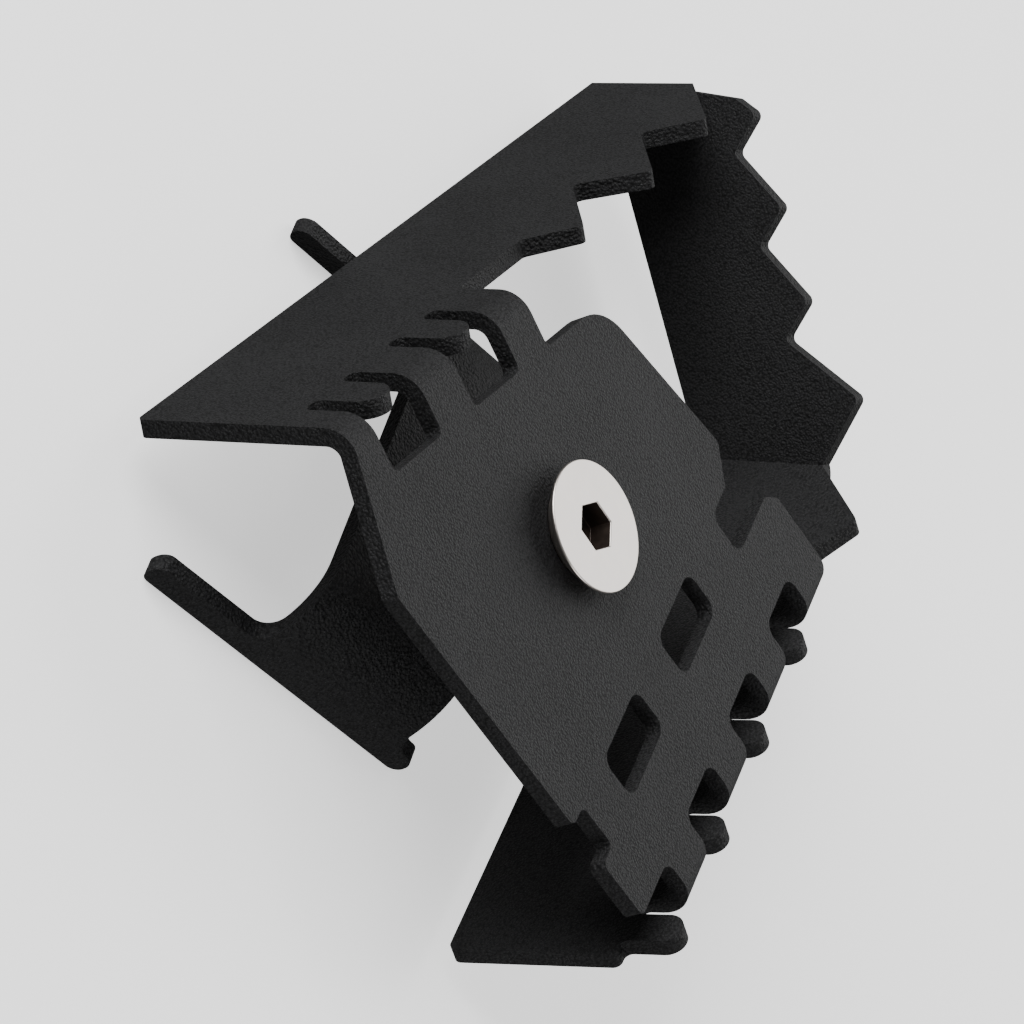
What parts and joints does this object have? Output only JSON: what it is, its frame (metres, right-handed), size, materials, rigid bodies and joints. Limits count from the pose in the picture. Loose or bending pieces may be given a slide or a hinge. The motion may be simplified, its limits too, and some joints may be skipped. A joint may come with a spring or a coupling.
{
  "type": "brake pedal enlarger plate",
  "caption": "Bent, toothed sheet-metal step plate that bolts on top of a motorcycle's foot-brake pedal with a saddle clamp and a countersunk screw.",
  "frame": {"origin": "on the clamp screw's axis, in the flat underside of the plate that lies on the pedal", "axes": "+Z along the screw towards the rider's foot, +X along the right-hand fold away from the narrow end, +Y towards the left wall"},
  "size_m": [0.0914, 0.0629, 0.025],
  "materials": {
    "black_coat": "fine-textured matte powder coat",
    "stainless": "satin, bright rim",
    "nut_steel": "matte powder coat over a weld nut"
  },
  "bodies": {
    "plate": {"pedal_plate": "black_coat"},
    "screw": {"clamp_screw": "stainless"},
    "clamp": {"clamp_bracket": "black_coat", "clamp_nut": "nut_steel"}
  },
  "joints": [
    {"name": "screw_turn", "type": "hinge", "parent": "plate", "child": "screw", "pos_m": [0, 0, 0], "axis": [0, 0, 1], "range_deg": [-150, 840]},
    {"name": "clamp_slide", "type": "slide", "parent": "plate", "child": "clamp", "axis": [0, 0, 1], "range_m": [-0.0023, 0.0004]}
  ],
  "couplings": [
    {"joint": "screw_turn", "follows": "clamp_slide", "rad_per_m": -6283.2}
  ]
}
